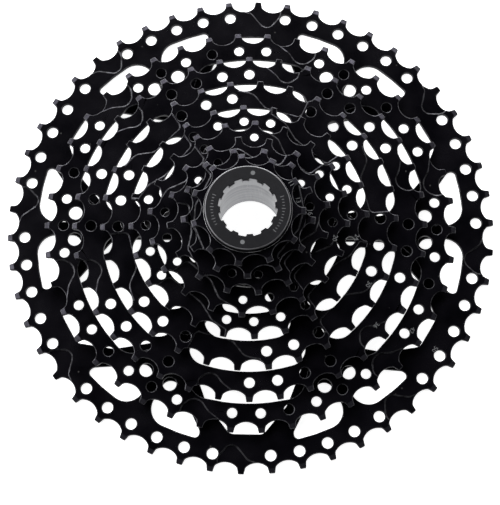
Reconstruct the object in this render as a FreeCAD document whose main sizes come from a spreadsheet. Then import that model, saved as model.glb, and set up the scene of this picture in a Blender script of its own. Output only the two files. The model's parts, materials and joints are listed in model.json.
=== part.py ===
"""Nine-speed cassette sprocket: toothed wheels, spacers and rivets on a splined core, held by a lockring.

The cassette lies on the flat back face of its largest wheel.  The origin is on the axis at that face, and +Z
runs along the axis towards the smallest wheel and the lockring.  All lengths are in millimetres, all angles in
degrees, counted anticlockwise from +X as seen from +Z.
"""

import FreeCAD
import Part
import Sketcher
import math
import os

os.makedirs("parts", exist_ok=True)
doc = FreeCAD.newDocument("cassette_sprocket")

# ---------------------------------------------------------------- driving dimensions

DIMENSIONS = {
    # chain and teeth
    "chain_pitch": 12.7,
    "roller_seat": 3.875,
    "tip_rise": 0.7,
    "tip_bevel_reach": 2.0,
    "tip_bevel_depth": 0.45,
    "back_bevel_reach": 1.0,
    "back_bevel_depth": 0.3,
    # stack
    "wheel_spacing": 4.34,
    "first_plate": 2.0,
    "plate": 1.8,
    "ramp_depth": 0.6,
    # splined core
    "core_bore": 12.9,
    "spline_top": 17.1,
    "spline_root": 15.9,
    "spline_clearance": 0.08,
    "flange_reach": 18.3,
    "flange_height": 0.8,
    "core_height": 36.2,
    "thread_bore": 15.06,
    "thread_depth": 7.6,
    "core_bevel": 0.5,
    # spacers
    "spacer_bore": 17.45,
    "spacer_reach": 24.6,
    "small_spacer_reach": 20.0,
    "collar_reach": 18.35,
    # rivets
    "hub_rivet_circle": 22.4,
    "hub_rivet_shank": 1.3,
    "hub_rivet_head": 2.0,
    "arm_rivet_shank": 2.0,
    "arm_rivet_head": 3.3,
    "arm_rivet_shoulder": 4.0,
    "rivet_head_height": 0.9,
    "rivet_clearance": 0.05,
    # lockring and its washer
    "washer_bore": 15.4,
    "washer_reach": 17.8,
    "washer_height": 0.5,
    "lockring_reach": 17.15,
    "lockring_height": 2.5,
    "lockring_bevel": 0.35,
    "socket_minor": 10.9,
    "socket_major": 11.75,
    "socket_notch_width": 3.3,
    "sleeve_bore": 11.9,
    "thread_crest": 15.0,
    "thread_root": 14.45,
    "thread_pitch": 1.0,
    "thread_turns": 6,
}

sheet = doc.addObject("Spreadsheet::Sheet", "Dimensions")
for row, (alias, number) in enumerate(DIMENSIONS.items(), start=1):
    sheet.set(f"A{row}", alias)
    sheet.set(f"B{row}", str(number))
    sheet.setAlias(f"B{row}", alias)
doc.recompute()


class Size:
    """A length that carries its number and the sheet formula that gives it."""

    def __init__(self, value, formula):
        self.value = value
        self.formula = formula

    def __add__(self, other):
        return Size(self.value + other.value, f"({self.formula} + {other.formula})")

    def __sub__(self, other):
        return Size(self.value - other.value, f"({self.formula} - {other.formula})")

    def times(self, factor):
        return Size(self.value * factor, f"({self.formula} * {factor})")


def size(alias):
    return Size(float(sheet.get(alias)), f"Dimensions.{alias}")


NONE = Size(0.0, "0")


def millimetres(number):
    return Size(number, f"{number}")


# ---------------------------------------------------------------- the wheels

# Holes repeat with the teeth: "skip" lists the teeth of one period that have no hole.
# "hole_at" and "ramp_at" give directions instead, where they do not follow the teeth.
# Outlines are corners of (angle, radius, corner radius), angles counted from the outline's own direction.
RAMP_50 = [(-5.6, 104.0, 0), (-5.8, 95.6, 4.0), (-2.6, 88.4, 3.4),
           (1.6, 96.2, 4.0), (5.2, 98.4, 0), (5.2, 104.0, 0)]
RAMP_42 = [(-6.0, 89.0, 0), (-6.6, 79.0, 4.0), (-3.2, 73.0, 4.6),
           (1.6, 78.6, 5.0), (5.6, 81.6, 0), (5.6, 89.0, 0)]
RAMP_36 = [(-5.6, 78.0, 0), (-5.4, 67.0, 3.0), (-1.6, 62.0, 4.2),
           (2.6, 66.4, 5.0), (7.0, 69.6, 0), (7.0, 78.0, 0)]
RAMP_30 = [(-13.0, 65.0, 0), (-13.0, 49.9, 2.2), (4.6, 49.6, 5.0),
           (10.6, 55.6, 5.0), (17.0, 57.0, 0), (17.0, 65.0, 0)]
RAMP_24 = [(-21.0, 54.0, 0), (-21.0, 39.6, 2.0), (3.6, 39.4, 5.0),
           (12.6, 44.0, 5.0), (21.0, 46.2, 0), (21.0, 54.0, 0)]
RAMP_20 = [(-21.0, 46.0, 0), (-21.0, 30.4, 2.0), (2.2, 30.0, 5.0),
           (13.0, 35.4, 5.0), (23.0, 37.4, 0), (23.0, 46.0, 0)]
RAMP_16 = [(-22.0, 38.0, 0), (-22.0, 24.4, 2.0), (6.0, 24.0, 5.0),
           (18.0, 28.0, 4.0), (32.0, 29.4, 0), (32.0, 38.0, 0)]
RAMP_13 = [(-34.0, 32.0, 0), (-34.0, 21.4, 1.5), (4.0, 21.4, 4.0),
           (26.0, 22.4, 3.0), (52.0, 23.2, 0), (52.0, 32.0, 0)]

EVERY_60 = range(0, 360, 60)
EVERY_90 = range(0, 360, 90)

WHEELS = [
    dict(teeth=50, first_tooth=1.83, hole_circle=94.56, hole=2.31, period=25, skip=(5, 12, 18, 24),
         ramp=RAMP_50, ramp_teeth=(5, 12, 18, 24, 30, 37, 43, 49)),
    dict(teeth=42, first_tooth=7.89, hole_circle=77.7, hole=2.07, period=7, skip=(1,), ramp=RAMP_42,
         ramp_teeth=(1, 8, 15, 22, 29, 36)),
    dict(teeth=36, first_tooth=0.3, hole_circle=65.7, hole=2.17, period=18, skip=(1, 2, 7, 8, 13, 14, 15),
         ramp=RAMP_36, ramp_at=[18.0 + turn for turn in EVERY_60]),
    dict(teeth=30, first_tooth=1.8, hole_circle=53.95, hole=2.17, period=5, skip=(1, 2), ramp=RAMP_30,
         ramp_at=[17.8 + turn for turn in EVERY_60]),
    dict(teeth=24, first_tooth=3.0, hole_circle=42.2, hole=1.85, period=6, skip=(3, 4), ramp=RAMP_24,
         ramp_at=[57.7 + turn for turn in EVERY_90]),
    dict(teeth=20, first_tooth=14.4, hole_circle=34.1, hole=1.7, period=20, skip=(2, 3, 5, 7, 8, 12, 13, 17, 18),
         ramp=RAMP_20, ramp_at=[57.5 + turn for turn in EVERY_90]),
    dict(teeth=16, first_tooth=7.5, hole_circle=25.0, hole=1.6,
         hole_at=(7.5, 32.0, 120.0, 144.5, 255.0, 279.5), ramp=RAMP_16, ramp_at=(80.0, 192.0, 327.5)),
    dict(teeth=13, first_tooth=20.4, ramp=RAMP_13, ramp_at=(168.0, 336.5)),
    dict(teeth=11, first_tooth=-1.3),
]

# The riveted wheels have six arms, and the windows between them.
RIVETED_WHEELS = 6
ARM_DIRECTION = -0.6
ARM_COUNT = 6
ARM_STEP = 360 / ARM_COUNT
ARM_HALF_WIDTHS = {50: 4.4, 42: 4.4, 36: 4.4, 30: 4.4, 24: 8.4, 20: 8.4}
HUB_REACH = 25.2
CORNER_LEAD = 1.6
WINDOW_RIMS = {36: 61.2, 30: 49.25, 24: 38.9, 20: 29.05}
RIM_CORNERS = {36: 7.0, 30: 7.0, 24: 3.0, 20: 1.4}
# Beside each arm of the largest wheel, a window splits the arm into a straight branch and two slanting ones.
SIDE_WINDOW_50 = [(11.8, 89.6, 0), (17.3, 89.8, 1.8), (17.2, 86.6, 2.5), (2.39, 67.2, 3.9), (1.8, 89.9, 7.5)]
LIGHTENING_42 = dict(circle=73.1, radius=2.8, offset=4.4)

# Short shouldered rivets join each big wheel to the next one on its arms: circle radius for each lower wheel.
ARM_RIVET_CIRCLES = {0: 59.5, 1: 50.0, 2: 40.0, 3: 32.0}
HUB_RIVETS = 3

# Tooth gap: a seat arc, a corner arc and a straight flank on each side, in (half-width, height above the root).
SEAT_ARC = 6.5
SEAT_SPREAD = 38.0
CORNER_ARC = 1.9
FLANK_LEAN = 76.0
GAP_HEIGHT = 7.0

# Nine keys in each wheel's bore fit nine grooves of the core, and one of them is narrow.
KEY_COUNT = 9
KEY_SPREAD = 13.0
NARROW_KEY_SPREAD = 8.0
SOCKET_NOTCHES = 12
SOCKET_DIRECTION = 19.5


def pitch_radius(teeth):
    pitch = size("chain_pitch")
    value = pitch.value / (2 * math.sin(math.pi / teeth))
    return Size(value, f"({pitch.formula} / (2 * sin(180 deg / {teeth})))")


def tip_radius(teeth):
    return pitch_radius(teeth) + size("tip_rise")


def front_face(level):
    return size("first_plate") + size("wheel_spacing").times(level)


def plate_of(level):
    return size("plate" if level else "first_plate")


def back_face(level):
    return front_face(level) - plate_of(level)


# ---------------------------------------------------------------- drawing helpers

def polar(angle, radius):
    turn = math.radians(angle)
    return FreeCAD.Vector(radius * math.cos(turn), radius * math.sin(turn), 0)


def rounded(chain):
    """Lines and tangent arcs along a row of (point, corner radius); a closed row ends where it starts."""
    edges = []
    last = chain[0][0]
    for index in range(1, len(chain) - 1):
        corner, radius = chain[index]
        start = end = corner
        if radius:
            inward = (chain[index - 1][0] - corner).normalize()
            outward = (chain[index + 1][0] - corner).normalize()
            half = inward.getAngle(outward) / 2
            start = corner + inward * (radius / math.tan(half))
            end = corner + outward * (radius / math.tan(half))
            middle = corner + (inward + outward).normalize() * (radius / math.sin(half) - radius)
        edges.append(Part.LineSegment(last, start))
        if radius:
            edges.append(Part.Arc(start, middle, end))
        last = end
    edges.append(Part.LineSegment(last, chain[-1][0]))
    return edges


def polar_loop(direction, corners, side=1):
    """A closed outline of (angle, radius, corner radius), turned to a direction, or mirrored with side -1."""
    chain = [(polar(direction + side * angle, radius), bend) for angle, radius, bend in corners]
    return rounded(chain + chain[:1])


def ring_sector(inner, outer, start, end):
    """A closed sector between two radii."""
    middle = (start + end) / 2
    return [
        Part.Arc(polar(start, outer), polar(middle, outer), polar(end, outer)),
        Part.LineSegment(polar(end, outer), polar(end, inner)),
        Part.Arc(polar(end, inner), polar(middle, inner), polar(start, inner)),
        Part.LineSegment(polar(start, inner), polar(start, outer)),
    ]


def origin_feature(body, role):
    return next(item for item in body.Origin.OriginFeatures if item.Role == role)


def new_body(label, height=NONE):
    body = doc.addObject("PartDesign::Body", label)
    body.Label = label
    body.setExpression(".Placement.Base.z", height.formula)
    return body


def new_sketch(body, name, plane="XY_Plane", height=NONE):
    sketch = body.newObject("Sketcher::SketchObject", f"{body.Name}_{name}")
    sketch.AttachmentSupport = [(origin_feature(body, plane), "")]
    sketch.MapMode = "FlatFace"
    sketch.setExpression(".AttachmentOffset.Base.z", height.formula)
    return sketch


def bind(sketch, name, constraint, length):
    index = sketch.addConstraint(constraint)
    sketch.renameConstraint(index, name)
    sketch.setExpression(f"Constraints.{name}", length.formula)


def outline(sketch, corners):
    """A closed polygon whose every corner is held by two sizes, measured from the sketch's origin."""
    count = len(corners)
    points = [FreeCAD.Vector(across.value, along.value, 0) for across, along in corners]
    for index in range(count):
        sketch.addGeometry(Part.LineSegment(points[index], points[(index + 1) % count]), False)
    for index in range(count):
        sketch.addConstraint(Sketcher.Constraint("Coincident", index, 2, (index + 1) % count, 1))
    for index, (across, along) in enumerate(corners):
        place = (-1, 1, index, 1)
        bind(sketch, f"across_{index}", Sketcher.Constraint("DistanceX", *place, across.value), across)
        if along is NONE:
            sketch.addConstraint(Sketcher.Constraint("PointOnObject", index, 1, -1))
        else:
            bind(sketch, f"along_{index}", Sketcher.Constraint("DistanceY", *place, along.value), along)


def circles(sketch, centres, radius):
    """Equal circles, the first one's radius bound to the sheet."""
    for index, centre in enumerate(centres):
        sketch.addGeometry(Part.Circle(centre, FreeCAD.Vector(0, 0, 1), radius.value), False)
        if index:
            sketch.addConstraint(Sketcher.Constraint("Equal", 0, index))
    bind(sketch, "hole_radius", Sketcher.Constraint("Radius", 0, radius.value), radius)


def revolve(body, corners):
    """Turn a section of (radius, height) corners once round the body's axis."""
    sketch = new_sketch(body, "section", plane="XZ_Plane")
    outline(sketch, corners)
    feature = body.newObject("PartDesign::Revolution", f"{body.Name}_turning")
    feature.Profile = sketch
    feature.ReferenceAxis = (sketch, ["V_Axis"])
    feature.Angle = 360
    doc.recompute()


def cut(body, sketch, depth=None):
    """Pocket a sketch downwards, right through or to a depth, and make sure that it removes material."""
    before = body.Shape.Volume
    feature = body.newObject("PartDesign::Pocket", f"{sketch.Name}_pocket")
    feature.Profile = sketch
    feature.Type = "Length" if depth else "ThroughAll"
    if depth:
        feature.setExpression("Length", depth.formula)
    doc.recompute()
    if not body.Shape.Volume < before:
        raise RuntimeError(f"{feature.Name} removed nothing")
    return feature


def repeat(body, feature, count):
    """Repeat one feature evenly round the axis."""
    before = body.Shape.Volume
    pattern = body.newObject("PartDesign::PolarPattern", f"{feature.Name}_pattern")
    pattern.Originals = [feature]
    pattern.Axis = (origin_feature(body, "Z_Axis"), [""])
    pattern.Angle = 360
    pattern.Occurrences = count
    body.Tip = pattern
    doc.recompute()
    if abs(body.Shape.Volume - before) < 1e-3:
        raise RuntimeError(f"{pattern.Name} changed nothing")


# ---------------------------------------------------------------- wheels

def tooth_gap(teeth, direction):
    """The closed outline of one gap between two teeth, open past the tips."""
    root = pitch_radius(teeth).value - size("roller_seat").value
    spread = math.radians(SEAT_SPREAD)
    lean = math.radians(FLANK_LEAN)
    middle = (spread + lean) / 2

    def corner_arc(turn):
        across = SEAT_ARC * math.sin(spread) + CORNER_ARC * (math.sin(turn) - math.sin(spread))
        height = SEAT_ARC * (1 - math.cos(spread)) + CORNER_ARC * (math.cos(spread) - math.cos(turn))
        return across, height

    def place(side, across, height):
        return polar(direction, root + height) + polar(direction + 90, side * across)

    across, height = corner_arc(lean)
    top = across + (GAP_HEIGHT - height) / math.tan(lean)
    seat_ends = [place(side, *corner_arc(spread)) for side in (-1, 1)]
    edges = [Part.Arc(seat_ends[0], place(0, 0, 0), seat_ends[1])]
    for side, seat_end in zip((-1, 1), seat_ends):
        edges.append(Part.Arc(seat_end, place(side, *corner_arc(middle)), place(side, across, height)))
        edges.append(Part.LineSegment(place(side, across, height), place(side, top, GAP_HEIGHT)))
    edges.append(Part.LineSegment(place(-1, top, GAP_HEIGHT), place(1, top, GAP_HEIGHT)))
    return edges


def key_sectors(clearance):
    """First and last angle of each key, or of each groove when there is a clearance."""
    for index in range(KEY_COUNT):
        spread = KEY_SPREAD if index else NARROW_KEY_SPREAD
        middle = index * 360 / KEY_COUNT
        yield middle - spread / 2 - clearance, middle + spread / 2 + clearance


def window(direction, outer, inner, side):
    """A window with an arc at the rim and one at the hub, and the same (half-angle, radius, corner radius)
    corners on both sides.  The first corner lies at the rim and the last one at the hub."""
    edges = []
    starts = []
    ends = []
    for sign in (-1, 1):
        chain = []
        for index, (angle, radius, bend) in enumerate(side):
            lead = math.degrees(CORNER_LEAD * bend / radius)
            at_rim = index == 0
            at_hub = index == len(side) - 1
            if at_rim:
                starts.append(polar(direction + sign * (angle - lead), outer))
                chain.append((starts[-1], 0))
            reach = radius / math.cos(math.radians(lead)) if at_rim or at_hub else radius
            chain.append((polar(direction + sign * angle, reach), bend))
            if at_hub:
                ends.append(polar(direction + sign * (angle - lead), inner))
                chain.append((ends[-1], 0))
        edges += rounded(chain)
    edges.append(Part.Arc(starts[0], polar(direction, outer), starts[1]))
    edges.append(Part.Arc(ends[0], polar(direction, inner), ends[1]))
    return edges


def arm_side(teeth, radius, corner):
    """Where a straight arm's side crosses a radius, counted from the middle of the window beside it."""
    return (ARM_STEP / 2 - math.degrees(math.asin(ARM_HALF_WIDTHS[teeth] / radius)), radius, corner)


def window_outlines(teeth, arm):
    """The outlines of the windows that follow one arm."""
    middle = arm + ARM_STEP / 2
    if teeth == 50:
        side = [(4.6, 85.6, 3.5), (12.6, 75.4, 8.0), arm_side(50, 57.0, 6.0), arm_side(50, HUB_REACH, 2.5)]
        return [window(middle, 85.6, HUB_REACH, side), polar_loop(arm, SIDE_WINDOW_50),
                polar_loop(arm, SIDE_WINDOW_50, -1)]
    if teeth == 42:
        side = [(17.4, 73.0, 8.0), arm_side(42, 60.0, 12.0), arm_side(42, HUB_REACH, 2.5)]
        return [window(middle, 73.6, HUB_REACH, side)]
    rim = WINDOW_RIMS[teeth]
    corner = RIM_CORNERS[teeth]
    side = [arm_side(teeth, rim, corner), arm_side(teeth, HUB_REACH, corner / 2)]
    return [window(middle, rim, HUB_REACH, side)]


def wheel_section(level, teeth):
    """Bore, bevelled tips and, on the smallest wheel, the collar behind it."""
    bore = size("spline_root") + size("spline_clearance")
    tip = tip_radius(teeth)
    back = NONE if teeth > 11 else size("wheel_spacing") - size("plate")
    front = back + plate_of(level) if teeth == 11 else plate_of(level)
    corners = [(bore, NONE)]
    if teeth == 11:
        corners += [(size("collar_reach"), NONE), (size("collar_reach"), back)]
    corners += [
        (tip - size("back_bevel_reach"), back),
        (tip, back + size("back_bevel_depth") if teeth == 11 else size("back_bevel_depth")),
        (tip, front - size("tip_bevel_depth")),
        (tip - size("tip_bevel_reach"), front),
        (bore, front),
    ]
    return corners, front


def make_wheel(level, wheel):
    teeth = wheel["teeth"]
    tooth_step = 360 / teeth
    base = back_face(level) if teeth > 11 else front_face(level - 1)
    body = new_body(f"sprocket_{teeth}t", base)
    corners, front = wheel_section(level, teeth)
    revolve(body, corners)

    gap = new_sketch(body, "tooth_gap", height=front)
    gap.addGeometry(tooth_gap(teeth, wheel["first_tooth"] + tooth_step / 2), False)
    repeat(body, cut(body, gap, plate_of(level)), teeth)

    bore = new_sketch(body, "spline_relief", height=front)
    edges = [angle for sector in key_sectors(0) for angle in sector]
    reach = size("spline_top").value + size("spline_clearance").value
    for start, end in zip(edges[1::2], edges[2::2] + [edges[0] + 360]):
        bore.addGeometry(ring_sector(size("spline_root").value - 1, reach, start, end), False)
    cut(body, bore)

    if "hole" in wheel:
        holes = new_sketch(body, "holes", height=front)
        angles = wheel.get("hole_at") or [wheel["first_tooth"] + index * tooth_step for index in range(teeth)
                                          if index % wheel["period"] not in wheel["skip"]]
        circles(holes, [polar(angle, wheel["hole_circle"]) for angle in angles], millimetres(wheel["hole"]))
        cut(body, holes)

    if "ramp" in wheel:
        ramps = new_sketch(body, "shift_ramps", height=front)
        directions = wheel.get("ramp_at") or [wheel["first_tooth"] + index * tooth_step
                                              for index in wheel["ramp_teeth"]]
        for direction in directions:
            ramps.addGeometry(polar_loop(direction, wheel["ramp"]), False)
        cut(body, ramps, size("ramp_depth"))

    if teeth == 42:
        pairs = new_sketch(body, "arm_holes", height=front)
        angles = [ARM_DIRECTION + index * ARM_STEP + side * LIGHTENING_42["offset"]
                  for index in range(ARM_COUNT) for side in (-1, 1)]
        circles(pairs, [polar(angle, LIGHTENING_42["circle"]) for angle in angles],
                millimetres(LIGHTENING_42["radius"]))
        cut(body, pairs)

    if level < RIVETED_WHEELS:
        windows = new_sketch(body, "windows", height=front)
        for arm in range(ARM_COUNT):
            for loop in window_outlines(teeth, ARM_DIRECTION + arm * ARM_STEP):
                windows.addGeometry(loop, False)
        cut(body, windows)
        add_rivet_holes(body, level, front)
    return body


def add_rivet_holes(body, level, front):
    """Holes for the long hub rivets, and for the short arm rivets of the pairs that this wheel belongs to."""
    shank = size("hub_rivet_shank") + size("rivet_clearance")
    hub_holes = new_sketch(body, "hub_rivet_holes", height=front)
    circles(hub_holes, hub_rivet_places(), shank)
    cut(body, hub_holes)
    shank = size("arm_rivet_shank") + size("rivet_clearance")
    for pair in (level - 1, level):
        if pair in ARM_RIVET_CIRCLES:
            arm_holes = new_sketch(body, f"arm_rivet_holes_{pair}", height=front)
            circles(arm_holes, arm_rivet_places(pair), shank)
            cut(body, arm_holes)
    if level == 0:
        sink_rivet_heads(body)


def sink_rivet_heads(body):
    """Recesses in the back of the largest wheel: one for the core's flange, the others for rivet heads."""
    clearance = size("rivet_clearance")
    recesses = [
        ("flange_seat", size("flange_height"), [FreeCAD.Vector()], size("flange_reach")),
        ("hub_head_seats", size("rivet_head_height"), hub_rivet_places(), size("hub_rivet_head")),
        ("arm_head_seats", size("rivet_head_height"), arm_rivet_places(0), size("arm_rivet_head")),
    ]
    for name, depth, places, radius in recesses:
        seats = new_sketch(body, name, height=depth)
        circles(seats, places, radius + clearance)
        cut(body, seats)


def hub_rivet_places():
    step = 360 / HUB_RIVETS
    return [polar(ARM_DIRECTION + index * step, size("hub_rivet_circle").value) for index in range(HUB_RIVETS)]


def arm_rivet_places(pair):
    return [polar(ARM_DIRECTION + index * ARM_STEP, ARM_RIVET_CIRCLES[pair]) for index in range(ARM_COUNT)]


# ---------------------------------------------------------------- spacers, rivets, core and lockring

def make_ring(label, base, height, inner, outer):
    body = new_body(label, base)
    revolve(body, [(inner, NONE), (outer, NONE), (outer, height), (inner, height)])
    return body


def make_spacers():
    """One ring in each gap between two wheels; the smallest wheel has a collar instead."""
    height = size("wheel_spacing") - size("plate")
    bodies = []
    for level in range(len(WHEELS) - 2):
        riveted = level < RIVETED_WHEELS - 1
        label = f"spacer_{WHEELS[level]['teeth']}_{WHEELS[level + 1]['teeth']}"
        outer = size("spacer_reach" if riveted else "small_spacer_reach")
        body = make_ring(label, front_face(level), height, size("spacer_bore"), outer)
        if riveted:
            holes = new_sketch(body, "rivet_holes", height=height)
            circles(holes, hub_rivet_places(), size("hub_rivet_shank") + size("rivet_clearance"))
            cut(body, holes)
        bodies.append(body)
    return bodies


def make_rivets(label, base, places, section):
    """Equal rivets: a section of (radius, height) turned about the first rivet's own axis, then repeated."""
    body = new_body(label, base)
    sketch = new_sketch(body, "section", plane="XZ_Plane")
    circle, count = places
    outline(sketch, [(circle + radius, height) for radius, height in section])
    feature = body.newObject("PartDesign::Revolution", f"{label}_turning")
    feature.Profile = sketch
    feature.ReferenceAxis = (sketch, [f"Edge{len(section)}"])
    feature.Angle = 360
    doc.recompute()
    repeat(body, feature, count)
    body.Placement.Rotation = FreeCAD.Rotation(FreeCAD.Vector(0, 0, 1), ARM_DIRECTION)
    return body


def make_hub_rivets():
    """Long rivets through all the riveted wheels and their spacers, with the lower head sunk in the back."""
    head = size("hub_rivet_head")
    shank = size("hub_rivet_shank")
    rise = size("rivet_head_height")
    top = front_face(RIVETED_WHEELS - 1)
    section = [(NONE, NONE), (head, NONE), (head, rise), (shank, rise), (shank, top), (head, top),
               (head, top + rise), (NONE, top + rise)]
    return make_rivets("hub_rivets", NONE, (size("hub_rivet_circle"), HUB_RIVETS), section)


def make_arm_rivets(pair):
    """Shouldered rivets whose shoulder keeps two wheels apart; only the largest wheel has sunk heads."""
    head = size("arm_rivet_head")
    shank = size("arm_rivet_shank")
    shoulder = size("arm_rivet_shoulder")
    rise = size("rivet_head_height")
    base = NONE if pair == 0 else back_face(pair) - rise
    lower_front = front_face(pair) - base
    upper_back = back_face(pair + 1) - base
    upper_front = front_face(pair + 1) - base
    section = [(NONE, NONE), (head, NONE), (head, rise), (shank, rise), (shank, lower_front),
               (shoulder, lower_front), (shoulder, upper_back), (shank, upper_back), (shank, upper_front),
               (head, upper_front), (head, upper_front + rise), (NONE, upper_front + rise)]
    label = f"arm_rivets_{WHEELS[pair]['teeth']}_{WHEELS[pair + 1]['teeth']}"
    return make_rivets(label, base, (millimetres(ARM_RIVET_CIRCLES[pair]), ARM_COUNT), section)


def make_core():
    """The splined core: a flange behind the largest wheel, nine grooves, and a wide bore for the lockring."""
    body = new_body("splined_core")
    top = size("core_height")
    seat = top - size("thread_depth")
    bevel = size("core_bevel")
    flange = size("flange_height")
    revolve(body, [
        (size("core_bore"), NONE),
        (size("flange_reach"), NONE),
        (size("flange_reach"), flange),
        (size("spline_top"), flange),
        (size("spline_top"), top - bevel),
        (size("spline_top") - bevel, top),
        (size("thread_bore"), top),
        (size("thread_bore"), seat),
        (size("core_bore"), seat),
    ])
    grooves = new_sketch(body, "grooves", height=top)
    clearance = math.degrees(size("spline_clearance").value / size("spline_root").value)
    inner = size("spline_root").value
    outer = size("spline_top").value + 1
    for start, end in key_sectors(clearance):
        grooves.addGeometry(ring_sector(inner, outer, start, end), False)
    cut(body, grooves, top - flange)
    return body


def make_lockring():
    """A head with a notched socket, and a sleeve whose thread is a row of ridges one pitch apart."""
    pitch = size("thread_pitch")
    turns = DIMENSIONS["thread_turns"]
    seat = pitch.times(turns + 1)
    top = seat + size("lockring_height")
    bevel = size("lockring_bevel")
    body = new_body("lockring", front_face(len(WHEELS) - 1) + size("washer_height") - seat)
    thread = [(size("thread_root"), NONE)]
    for turn in range(turns):
        thread.append((size("thread_crest"), pitch.times(turn + 0.5)))
        thread.append((size("thread_root"), pitch.times(turn + 1)))
    revolve(body, [(size("sleeve_bore"), NONE)] + thread + [
        (size("thread_root"), seat),
        (size("lockring_reach"), seat),
        (size("lockring_reach"), top - bevel),
        (size("lockring_reach") - bevel, top),
        (size("socket_minor"), top),
        (size("socket_minor"), seat),
        (size("sleeve_bore"), seat),
    ])
    socket = new_sketch(body, "socket", height=top)
    half = size("socket_notch_width").value / 2
    deep = size("socket_major").value
    shallow = size("socket_minor").value - 1
    corners = [((shallow, 0), 0), ((shallow, half), 0), ((deep, half), 0.5), ((deep, -half), 0.5),
               ((shallow, -half), 0), ((shallow, 0), 0)]
    chain = [(polar(SOCKET_DIRECTION, reach) + polar(SOCKET_DIRECTION + 90, across), bend)
             for (reach, across), bend in corners]
    socket.addGeometry(rounded(chain), False)
    repeat(body, cut(body, socket, size("lockring_height")), SOCKET_NOTCHES)
    return body


parts = [make_wheel(level, wheel) for level, wheel in enumerate(WHEELS)]
parts += make_spacers()
parts.append(make_hub_rivets())
parts += [make_arm_rivets(pair) for pair in ARM_RIVET_CIRCLES]
parts.append(make_core())
parts.append(make_ring("lock_washer", front_face(len(WHEELS) - 1), size("washer_height"), size("washer_bore"),
                       size("washer_reach")))
parts.append(make_lockring())
doc.recompute()

# ---------------------------------------------------------------- check and write

for item in doc.Objects:
    if "Invalid" in item.State or "Error" in item.State:
        raise RuntimeError(f"{item.Name} did not compute")
for part in parts:
    if part.Shape.isNull() or not part.Shape.isValid():
        raise RuntimeError(f"{part.Label} has no valid shape")
for part in parts:
    part.Shape.exportStep(f"parts/{part.Label}.step")
    box = part.Shape.BoundBox
    print(f"{part.Label:20s} {len(part.Shape.Solids)} solids  {part.Shape.Volume:9.1f} mm3  "
          f"z {box.ZMin:6.2f} to {box.ZMax:6.2f}  x {box.XMin:7.2f} to {box.XMax:7.2f}")
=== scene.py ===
"""Looks of the nine-speed cassette: finishes, rounded edges, engraved marks, floor, light and camera.

Lengths are in metres and angles in degrees, in the frame of the CAD model: +Z runs along the axis towards the
lockring, and the largest wheel lies on the floor at z = 0.
"""

import json
import math

import bpy
from mathutils import Matrix, Vector


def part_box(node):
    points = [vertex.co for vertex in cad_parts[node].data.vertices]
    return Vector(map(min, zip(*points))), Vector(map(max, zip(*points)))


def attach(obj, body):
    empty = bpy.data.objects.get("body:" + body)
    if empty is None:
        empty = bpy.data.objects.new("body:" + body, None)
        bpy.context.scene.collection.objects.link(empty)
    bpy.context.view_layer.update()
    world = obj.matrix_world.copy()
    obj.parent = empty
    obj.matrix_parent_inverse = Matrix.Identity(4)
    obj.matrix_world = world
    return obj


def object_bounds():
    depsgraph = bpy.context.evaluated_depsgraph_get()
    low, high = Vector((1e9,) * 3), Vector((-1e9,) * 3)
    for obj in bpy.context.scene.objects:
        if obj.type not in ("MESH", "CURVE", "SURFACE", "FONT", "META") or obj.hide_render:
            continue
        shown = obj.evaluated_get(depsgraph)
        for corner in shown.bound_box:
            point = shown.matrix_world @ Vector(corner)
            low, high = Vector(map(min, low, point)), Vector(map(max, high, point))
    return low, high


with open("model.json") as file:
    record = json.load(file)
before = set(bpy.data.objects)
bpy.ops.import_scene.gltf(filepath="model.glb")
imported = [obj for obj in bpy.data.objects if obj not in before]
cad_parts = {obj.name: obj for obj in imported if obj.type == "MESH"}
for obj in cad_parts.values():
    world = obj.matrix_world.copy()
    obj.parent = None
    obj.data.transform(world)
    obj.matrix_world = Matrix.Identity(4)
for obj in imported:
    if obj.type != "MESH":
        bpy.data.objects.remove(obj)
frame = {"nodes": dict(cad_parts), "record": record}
cad_low, cad_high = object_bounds()

MM = 0.001
NODES = frame["nodes"]
BODY_OF_NODE = {node: body for body, nodes in frame["record"]["behaviour"]["bodies"].items() for node in nodes}
SLOT_OF_NODE = {part["node"]: part["material_slot"] for part in frame["record"]["subparts"]}

# Rounded edges: how far a rounding reaches on each kind of piece.
EDGE_ANGLE = 30
TIP_ANGLE = 9
EDGE_REACH = {"sprocket": 0.32 * MM, "spacer": 0.15 * MM, "lock": 0.12 * MM, "lockring": 0.11 * MM,
              "splined": 0.15 * MM, "arm": 0.2 * MM, "hub": 0.15 * MM}


# ---------------------------------------------------------------- node materials

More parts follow.
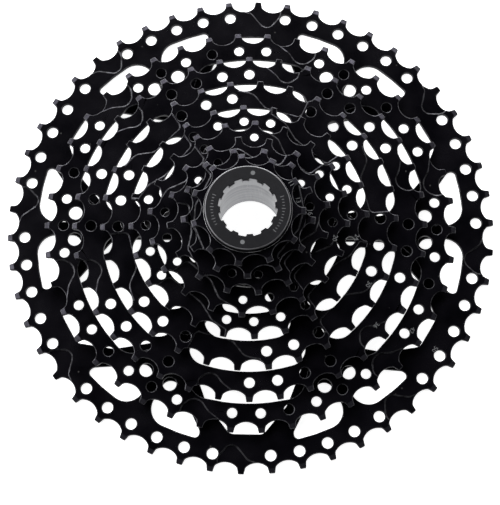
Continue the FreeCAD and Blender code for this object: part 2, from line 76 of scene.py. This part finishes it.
class Finish:
    """A node material: one Principled shader and the nodes that feed it."""

    def __init__(self, name, **plain):
        self.material = bpy.data.materials.new(name)
        self.material.use_nodes = True
        self.tree = self.material.node_tree
        self.shader = self.tree.nodes["Principled BSDF"]
        for socket, value in plain.items():
            self.shader.inputs[socket.replace("_", " ")].default_value = value
        place = self.tree.nodes.new("ShaderNodeTexCoord")
        self.place = place.outputs["Object"]
        self.normal = place.outputs["Normal"]

    def add(self, kind, inputs, **settings):
        node = self.tree.nodes.new(kind)
        for name, value in settings.items():
            setattr(node, name, value)
        for socket, value in inputs.items():
            if isinstance(value, bpy.types.NodeSocket):
                self.tree.links.new(value, node.inputs[socket])
            else:
                node.inputs[socket].default_value = value
        return node

    def math(self, operation, first, second=0.0, clamp=False):
        node = self.add("ShaderNodeMath", {0: first, 1: second}, operation=operation, use_clamp=clamp)
        return node.outputs[0]

    def noise(self, size, detail=2.0, stretch=None):
        """Smooth noise from 0 to 1 whose features are about as large as size."""
        place = self.place
        if stretch:
            place = self.add("ShaderNodeVectorMath", {0: place, 1: stretch}, operation="MULTIPLY").outputs[0]
        node = self.add("ShaderNodeTexNoise", {"Vector": place, "Scale": 1 / size, "Detail": detail})
        return node.outputs["Fac"]

    def spread(self, value, low, high, to_low=0.0, to_high=1.0):
        """Stretch low..high to to_low..to_high, and hold the ends."""
        node = self.add("ShaderNodeMapRange", {"Value": value, "From Min": low, "From Max": high,
                                               "To Min": to_low, "To Max": to_high})
        node.clamp = True
        return node.outputs["Result"]

    def blend(self, share, first, second):
        """Mix two colours."""
        node = self.add("ShaderNodeMix", {"Factor": share}, data_type="RGBA")
        colours = [socket for socket in node.inputs if socket.type == "RGBA"]
        for socket, colour in zip(colours, (first, second)):
            if isinstance(colour, bpy.types.NodeSocket):
                self.tree.links.new(colour, socket)
            else:
                socket.default_value = (*colour, 1)
        return next(socket for socket in node.outputs if socket.type == "RGBA")

    def split(self, vector):
        return self.add("ShaderNodeSeparateXYZ", {0: vector}).outputs

    def upward(self):
        """How far a face is turned up or down, from 0 on a wall to 1 on a flat face."""
        return self.math("ABSOLUTE", self.split(self.normal)["Z"])

    def rounding(self):
        """1 on the rounded edges between flat faces and walls, 0 elsewhere."""
        upward = self.upward()
        off_flat = self.spread(upward, 0.96, 0.85)
        off_wall = self.spread(upward, 0.1, 0.3)
        return self.math("MULTIPLY", off_flat, off_wall)

    def facet(self):
        """1 on the slightly sloping bevels of the tooth tips, 0 elsewhere."""
        upward = self.upward()
        return self.math("MULTIPLY", self.spread(upward, 0.992, 0.984), self.spread(upward, 0.955, 0.965))

    def distance(self):
        """Distance from the axis, and height."""
        x, y, z = self.split(self.place)
        squares = self.math("ADD", self.math("MULTIPLY", x, x), self.math("MULTIPLY", y, y))
        return self.math("SQRT", squares), z

    def specks(self, cell, share):
        """Sparse round specks of dust: one in a small share of the cells."""
        cells = self.add("ShaderNodeTexVoronoi", {"Vector": self.place, "Scale": 1 / cell})
        near = self.spread(cells.outputs["Distance"], 0.16, 0.1)
        chosen = self.math("LESS_THAN", self.split(cells.outputs["Color"])["X"], share)
        return self.math("MULTIPLY", near, chosen)

    def bump(self, height, depth, strength=1.0, under=None):
        inputs = {"Height": height, "Distance": depth, "Strength": strength}
        if under is not None:
            inputs["Normal"] = under
        return self.add("ShaderNodeBump", inputs).outputs["Normal"]

    def feed(self, socket, value):
        self.tree.links.new(value, self.shader.inputs[socket])


def wheel_coat():
    """Black coat on punched steel: slight clouding, orange peel, dust, and painted highlights on the rounded
    edges and tooth-tip bevels, partly rubbed bare metal.
    """
    finish = Finish("wheel_coat", Specular_IOR_Level=0.05)
    clouds = finish.noise(14 * MM, detail=3)
    grain = finish.noise(0.35 * MM, detail=2)
    edge = finish.rounding()
    patchy = finish.spread(finish.noise(2.4 * MM, detail=4), 0.36, 0.62, 0.15, 1.0)
    # Rounded edges lightened in patches: a painted highlight along the edges, partly rubbed wear.
    worn_and_sheen = finish.math("MULTIPLY", edge, patchy)
    dust = finish.specks(2.6 * MM, 0.05)
    coat = finish.blend(finish.spread(clouds, 0.35, 0.7), (0.0011, 0.0010, 0.0017), (0.0032, 0.0029, 0.0042))
    uneven = finish.spread(finish.noise(2.5 * MM, detail=3), 0.3, 0.7, 0.4, 1.0)
    # Tooth-tip bevels lightened to a lavender grey: a painted highlight, partly bare steel where the coat is
    # thin.
    tip_highlight_and_bare = finish.math("MULTIPLY", finish.facet(), uneven)
    coat = finish.blend(tip_highlight_and_bare, coat, (0.030, 0.029, 0.036))
    # The light grey on the rounded edges is a painted highlight, partly rubbed bare steel.
    rubbed_and_highlit = finish.blend(worn_and_sheen, coat, (0.085, 0.085, 0.093))
    dusty = finish.blend(finish.math("MULTIPLY", dust, 0.3), rubbed_and_highlit, (0.10, 0.097, 0.094))
    finish.feed("Base Color", dusty)
    bare = finish.math("ADD", finish.math("MULTIPLY", worn_and_sheen, 0.8), finish.math("MULTIPLY", tip_highlight_and_bare, 0.7), clamp=True)
    finish.feed("Metallic", bare)
    rough = finish.spread(clouds, 0.3, 0.7, 0.20, 0.28)
    rough = finish.math("ADD", rough, finish.spread(grain, 0.3, 0.7, -0.02, 0.03))
    rough = finish.math("ADD", rough, finish.math("MULTIPLY", worn_and_sheen, 0.15))
    rough = finish.math("ADD", rough, finish.math("MULTIPLY", dust, 0.3), clamp=True)
    finish.feed("Roughness", rough)
    peel = finish.bump(grain, 0.006 * MM, 0.35)
    finish.feed("Normal", finish.bump(clouds, 0.05 * MM, 0.25, under=peel))
    return finish.material


def anodised(name, colour, edge_colour):
    """Dyed anodised aluminium with fine turning marks."""
    finish = Finish(name, Specular_IOR_Level=0.25)
    reach, _ = finish.distance()
    marks = finish.math("SINE", finish.math("MULTIPLY", reach, 2 * math.pi / (0.32 * MM)))
    flat = finish.spread(finish.upward(), 0.85, 0.97)
    marks = finish.math("MULTIPLY", marks, flat)
    clouds = finish.noise(5 * MM, detail=3)
    grain = finish.noise(0.2 * MM)
    edge = finish.math("MULTIPLY", finish.rounding(), finish.spread(clouds, 0.25, 0.6, 0.55, 1.0))
    dyed = finish.blend(finish.spread(clouds, 0.3, 0.7), colour, tuple(1.45 * part for part in colour))
    finish.feed("Base Color", finish.blend(edge, dyed, edge_colour))
    finish.feed("Roughness", finish.math("ADD", finish.spread(grain, 0.3, 0.7, 0.30, 0.42),
                                         finish.math("MULTIPLY", marks, 0.03)))
    finish.feed("Normal", finish.bump(marks, 0.004 * MM, 0.4, under=finish.bump(grain, 0.004 * MM, 0.3)))
    return finish


def lockring_finish():
    """Black anodised head, with the socket and the sleeve's bore machined bright after anodising."""
    finish = anodised("lockring_black", (0.004, 0.004, 0.0052), (0.17, 0.17, 0.18))
    dyed = finish.shader.inputs["Base Color"].links[0].from_socket
    reach, _ = finish.distance()
    inside = finish.math("LESS_THAN", reach, 13.0 * MM)
    wall = finish.spread(finish.upward(), 0.6, 0.4)
    bright = finish.math("MULTIPLY", inside, wall)
    finish.feed("Base Color", finish.blend(bright, dyed, (0.34, 0.345, 0.36)))
    finish.feed("Metallic", bright)
    return finish.material


def machined_aluminium():
    """Bright turned aluminium: feed marks round the axis, and faint streaks along it."""
    finish = Finish("machined_aluminium", Metallic=1.0)
    _, height = finish.distance()
    wobble = finish.noise(3 * MM, detail=2)
    turned = finish.math("ADD", finish.math("MULTIPLY", height, 2 * math.pi / (0.9 * MM)),
                         finish.math("MULTIPLY", wobble, 6.0))
    rings = finish.math("SINE", turned)
    wide = finish.noise(1.6 * MM, detail=3, stretch=(0.05, 0.05, 1.0))
    streaks = finish.noise(1.4 * MM, detail=3, stretch=(1.0, 1.0, 0.04))
    tone = finish.math("ADD", finish.spread(wide, 0.35, 0.65, 0.0, 0.45),
                       finish.spread(streaks, 0.35, 0.65, 0.0, 0.55))
    finish.feed("Base Color", finish.blend(tone, (0.11, 0.114, 0.126), (0.31, 0.315, 0.33)))
    finish.feed("Roughness", finish.math("ADD", finish.spread(streaks, 0.3, 0.7, 0.26, 0.42),
                                         finish.math("MULTIPLY", rings, 0.015)))
    finish.feed("Normal", finish.bump(rings, 0.004 * MM, 0.3, under=finish.bump(streaks, 0.012 * MM, 0.5)))
    return finish.material


def blackened_steel():
    """Rivets: blackened steel, rubbed bright on their rims."""
    finish = Finish("blackened_steel", Metallic=1.0)
    grain = finish.noise(0.25 * MM, detail=3)
    patches = finish.noise(2.2 * MM, detail=3)
    bare = finish.math("MULTIPLY", finish.rounding(), finish.spread(patches, 0.3, 0.6))
    dark = finish.blend(finish.spread(patches, 0.3, 0.7), (0.030, 0.029, 0.032), (0.062, 0.060, 0.064))
    finish.feed("Base Color", finish.blend(bare, dark, (0.42, 0.42, 0.43)))
    finish.feed("Roughness", finish.spread(grain, 0.3, 0.7, 0.34, 0.52))
    finish.feed("Normal", finish.bump(grain, 0.006 * MM, 0.5))
    return finish.material


def washer_steel():
    """The thin washer: black on its faces, and bright where its rim is rubbed."""
    finish = Finish("washer_steel", Metallic=1.0)
    grain = finish.noise(0.3 * MM, detail=3)
    rim = finish.spread(finish.upward(), 0.97, 0.8)
    finish.feed("Base Color", finish.blend(rim, (0.022, 0.022, 0.024), (0.30, 0.30, 0.31)))
    finish.feed("Roughness", finish.spread(grain, 0.3, 0.7, 0.3, 0.45))
    finish.feed("Normal", finish.bump(grain, 0.004 * MM, 0.4))
    return finish.material


def etched_mark():
    """Laser-etched marks: matt grey with a fine mottle."""
    finish = Finish("etched_mark")
    mottle = finish.noise(0.12 * MM, detail=2)
    finish.feed("Base Color", finish.blend(mottle, (0.06, 0.062, 0.066), (0.13, 0.134, 0.14)))
    finish.feed("Roughness", finish.spread(mottle, 0.2, 0.8, 0.6, 0.8))
    return finish.material


# ---------------------------------------------------------------- CAD nodes

def smoothing_group():
    """Geometry nodes that join the mesh's split corners and shade it smooth, but for the tips' outlines."""
    group = bpy.data.node_groups.new("join_and_smooth", "GeometryNodeTree")
    group.interface.new_socket("Geometry", in_out="INPUT", socket_type="NodeSocketGeometry")
    group.interface.new_socket("Geometry", in_out="OUTPUT", socket_type="NodeSocketGeometry")
    start = group.nodes.new("NodeGroupInput")
    join = group.nodes.new("GeometryNodeMergeByDistance")
    join.inputs["Distance"].default_value = 0.0001 * MM
    smooth = group.nodes.new("GeometryNodeSetShadeSmooth")
    angle = group.nodes.new("GeometryNodeInputMeshEdgeAngle")
    folded = group.nodes.new("ShaderNodeMath")
    folded.operation = "GREATER_THAN"
    folded.inputs[1].default_value = math.radians(TIP_ANGLE)
    normal = group.nodes.new("GeometryNodeInputNormal")
    parts = group.nodes.new("ShaderNodeSeparateXYZ")
    upward = group.nodes.new("ShaderNodeMath")
    upward.operation = "ABSOLUTE"
    facing = group.nodes.new("ShaderNodeMath")
    facing.operation = "GREATER_THAN"
    facing.inputs[1].default_value = 0.3
    both = group.nodes.new("ShaderNodeMath")
    both.operation = "MULTIPLY"
    crease = group.nodes.new("GeometryNodeSetShadeSmooth")
    crease.domain = "EDGE"
    crease.inputs["Shade Smooth"].default_value = False
    end = group.nodes.new("NodeGroupOutput")
    group.links.new(start.outputs["Geometry"], join.inputs["Geometry"])
    group.links.new(join.outputs["Geometry"], smooth.inputs["Geometry"])
    group.links.new(smooth.outputs["Geometry"], crease.inputs["Geometry"])
    group.links.new(angle.outputs["Unsigned Angle"], folded.inputs[0])
    group.links.new(normal.outputs["Normal"], parts.inputs[0])
    group.links.new(parts.outputs["Z"], upward.inputs[0])
    group.links.new(upward.outputs[0], facing.inputs[0])
    group.links.new(folded.outputs[0], both.inputs[0])
    group.links.new(facing.outputs[0], both.inputs[1])
    group.links.new(both.outputs[0], crease.inputs["Selection"])
    group.links.new(crease.outputs["Geometry"], end.inputs["Geometry"])
    return group


def round_edges(node, group, reach):
    """Round the node's edges without touching its mesh."""
    join = node.modifiers.new("join", "NODES")
    join.node_group = group
    bevel = node.modifiers.new("rounding", "BEVEL")
    bevel.width = reach
    bevel.segments = 2
    bevel.limit_method = "ANGLE"
    bevel.angle_limit = math.radians(EDGE_ANGLE)
    bevel.use_clamp_overlap = False
    shading = node.modifiers.new("shading", "WEIGHTED_NORMAL")
    shading.mode = "FACE_AREA"
    shading.keep_sharp = True


def dress_nodes():
    """Give every CAD node its finish and its rounded edges."""
    coat = wheel_coat()
    black = anodised("spacer_black", (0.012, 0.012, 0.014), (0.10, 0.10, 0.11)).material
    finishes = {"wheel_steel": coat, "spacer_aluminium": black, "rivet_steel": blackened_steel(),
                "bare_aluminium": machined_aluminium(), "black_aluminium": lockring_finish()}
    washer = washer_steel()
    group = smoothing_group()
    for name, node in NODES.items():
        node.data.materials.clear()
        node.data.materials.append(washer if name == "lock_washer" else finishes[SLOT_OF_NODE[name]])
        round_edges(node, group, EDGE_REACH[name.split("_")[0]])


# ---------------------------------------------------------------- etched marks

MARK_DEPTH = 0.02 * MM
NUMBER_HEIGHT = 2.6 * MM
MARK_CIRCLE = 14.3 * MM
TICK_STEP = 5.0
TICK_HALF_WIDTH = 0.55
TALL_TICK = 0.75 * MM
SHORT_TICK = 0.45 * MM
DOT_RADIUS = 0.9 * MM
DOT_SIDES = 24


def etched_number(text, node, direction, radius, height, material):
    """A number etched on the front of a wheel, its foot towards the axis."""
    curve = bpy.data.curves.new(f"number_{text}", "FONT")
    curve.body = text
    curve.size = height
    curve.align_x = "CENTER"
    curve.align_y = "CENTER"
    curve.extrude = MARK_DEPTH
    shaped = bpy.data.objects.new("shape", curve)
    bpy.context.scene.collection.objects.link(shaped)
    bpy.context.view_layer.update()
    mesh = bpy.data.meshes.new_from_object(shaped.evaluated_get(bpy.context.evaluated_depsgraph_get()))
    bpy.data.objects.remove(shaped)
    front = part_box(node)[1].z
    turn = Matrix.Rotation(math.radians(direction), 4, "Z")
    mesh.transform(turn @ Matrix.Translation((radius, 0, front)) @ Matrix.Rotation(math.radians(-90), 4, "Z"))
    mesh.materials.clear()
    mesh.materials.append(material)
    number = bpy.data.objects.new(f"number_{text}", mesh)
    bpy.context.scene.collection.objects.link(number)
    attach(number, BODY_OF_NODE[node])


def ring_marks(material):
    """Two rows of graduation marks and two round dots, etched on the lockring's head."""
    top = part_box("lockring")[1].z
    corners = []
    faces = []

    def plate(points):
        start = len(corners)
        count = len(points)
        for level in (-MARK_DEPTH, MARK_DEPTH):
            corners.extend((x, y, top + level) for x, y in points)
        faces.append(tuple(range(start + count, start + 2 * count)))
        faces.append(tuple(reversed(range(start, start + count))))
        for index in range(count):
            following = (index + 1) % count
            faces.append((start + index, start + following, start + count + following, start + count + index))

    def polar(angle, reach):
        turn = math.radians(angle)
        return reach * math.cos(turn), reach * math.sin(turn)

    def sector(inner, outer, start, end, steps):
        arc = [start + (end - start) * step / steps for step in range(steps + 1)]
        return [polar(angle, outer) for angle in arc] + [polar(angle, inner) for angle in reversed(arc)]

    for middle, count in ((184.0, 11), (-12.0, 13)):
        for index in range(count):
            angle = middle + (index - (count - 1) / 2) * TICK_STEP
            half = TALL_TICK if index % 4 == 0 else SHORT_TICK
            start, end = angle - TICK_HALF_WIDTH, angle + TICK_HALF_WIDTH
            plate(sector(MARK_CIRCLE - half, MARK_CIRCLE + half, start, end, 1))
    for direction in (82.0, 262.0):
        x, y = polar(direction, MARK_CIRCLE)
        turns = [math.tau * step / DOT_SIDES for step in range(DOT_SIDES)]
        plate([(x + DOT_RADIUS * math.cos(turn), y + DOT_RADIUS * math.sin(turn)) for turn in turns])
    mesh = bpy.data.meshes.new("lockring_marks")
    mesh.from_pydata(corners, [], faces)
    mesh.materials.append(material)
    marks = bpy.data.objects.new("lockring_marks", mesh)
    bpy.context.scene.collection.objects.link(marks)
    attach(marks, "lockring")


def etch():
    """Tooth counts on the wheels' fronts, and the lockring's marks."""
    material = etched_mark()
    places = [("11", "sprocket_11t", 31.6, 20.2), ("13", "sprocket_13t", 13.8, 20.6),
              ("16", "sprocket_16t", 2.4, 24.9),
              ("20", "sprocket_20t", -14.0, 36.0), ("24", "sprocket_24t", -9.5, 44.5),
              ("30", "sprocket_30t", -28.0, 55.2), ("36", "sprocket_36t", -39.0, 66.8),
              ("42", "sprocket_42t", -33.0, 79.6), ("50", "sprocket_50t", -33.5, 91.5)]
    for text, node, direction, radius in places:
        etched_number(text, node, direction, radius * MM, NUMBER_HEIGHT, material)
    ring_marks(material)


# ---------------------------------------------------------------- studio

def pale_floor():
    """A wide pale floor that is nearly white by its own light, as a backlit table is."""
    bpy.ops.mesh.primitive_plane_add(size=12.0, location=(0, 0, cad_low.z - 0.02 * MM))
    floor = bpy.context.object
    floor.name = "floor"
    finish = Finish("pale_floor", Roughness=0.9, Emission_Color=(1, 1, 1, 1), Emission_Strength=0.95)
    cloud = finish.noise(0.4, detail=2)
    finish.feed("Base Color", finish.blend(cloud, (0.90, 0.90, 0.90), (0.93, 0.93, 0.93)))
    floor.data.materials.append(finish.material)


def soft_light(name, azimuth, elevation, distance, width, height, power):
    """A rectangular softbox that faces the object. Azimuth is counted from +X."""
    lamp = bpy.data.lights.new(name, "AREA")
    lamp.shape = "RECTANGLE"
    lamp.size = width
    lamp.size_y = height
    lamp.energy = power
    light = bpy.data.objects.new(name, lamp)
    side, rise = math.radians(azimuth), math.radians(elevation)
    away = Vector((math.cos(side) * math.cos(rise), math.sin(side) * math.cos(rise), math.sin(rise)))
    light.location = away * distance
    light.rotation_euler = away.to_track_quat("Z", "Y").to_euler()
    bpy.context.scene.collection.objects.link(light)


def studio():
    world = bpy.data.worlds.new("studio")
    world.use_nodes = True
    world.node_tree.nodes["Background"].inputs["Color"].default_value = (0.95, 0.96, 1.0, 1)
    world.node_tree.nodes["Background"].inputs["Strength"].default_value = 0.035
    bpy.context.scene.world = world
    soft_light("back_box", 95, 42, 1.1, 1.3, 0.5, 17)
    soft_light("back_strip", 98, 12, 1.3, 1.7, 0.28, 20)
    soft_light("left_box", 165, 50, 1.1, 0.6, 0.5, 7)
    soft_light("left_strip", 172, 13, 1.3, 1.0, 0.25, 9)
    soft_light("right_box", 12, 30, 1.2, 0.5, 0.4, 1.2)
    bpy.context.scene.view_settings.view_transform = "Standard"


# ---------------------------------------------------------------- camera

CAMERA_TILT = 12.983
CAMERA_SWING = 1.289
CAMERA_DISTANCE = 0.68079
CAMERA_AIM = (0.00009, -0.00946)
CAMERA_LENS = 115.89


def camera():
    """Above the small wheels, leaning a little towards -Y."""
    data = bpy.data.cameras.new("camera")
    data.lens = CAMERA_LENS
    data.sensor_width = 36.0
    data.clip_start = 0.05
    data.clip_end = 30.0
    tilt = Matrix.Rotation(math.radians(CAMERA_TILT), 4, "X")
    swing = Matrix.Rotation(math.radians(CAMERA_SWING), 4, "Y")
    turn = tilt @ swing
    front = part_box("sprocket_50t")[1].z
    place = Vector((0, 0, front)) + turn @ Vector((*CAMERA_AIM, CAMERA_DISTANCE))
    eye = bpy.data.objects.new("camera", data)
    eye.matrix_world = Matrix.Translation(place) @ turn
    bpy.context.scene.collection.objects.link(eye)
    bpy.context.scene.camera = eye


camera()
dress_nodes()
etch()
pale_floor()
studio()
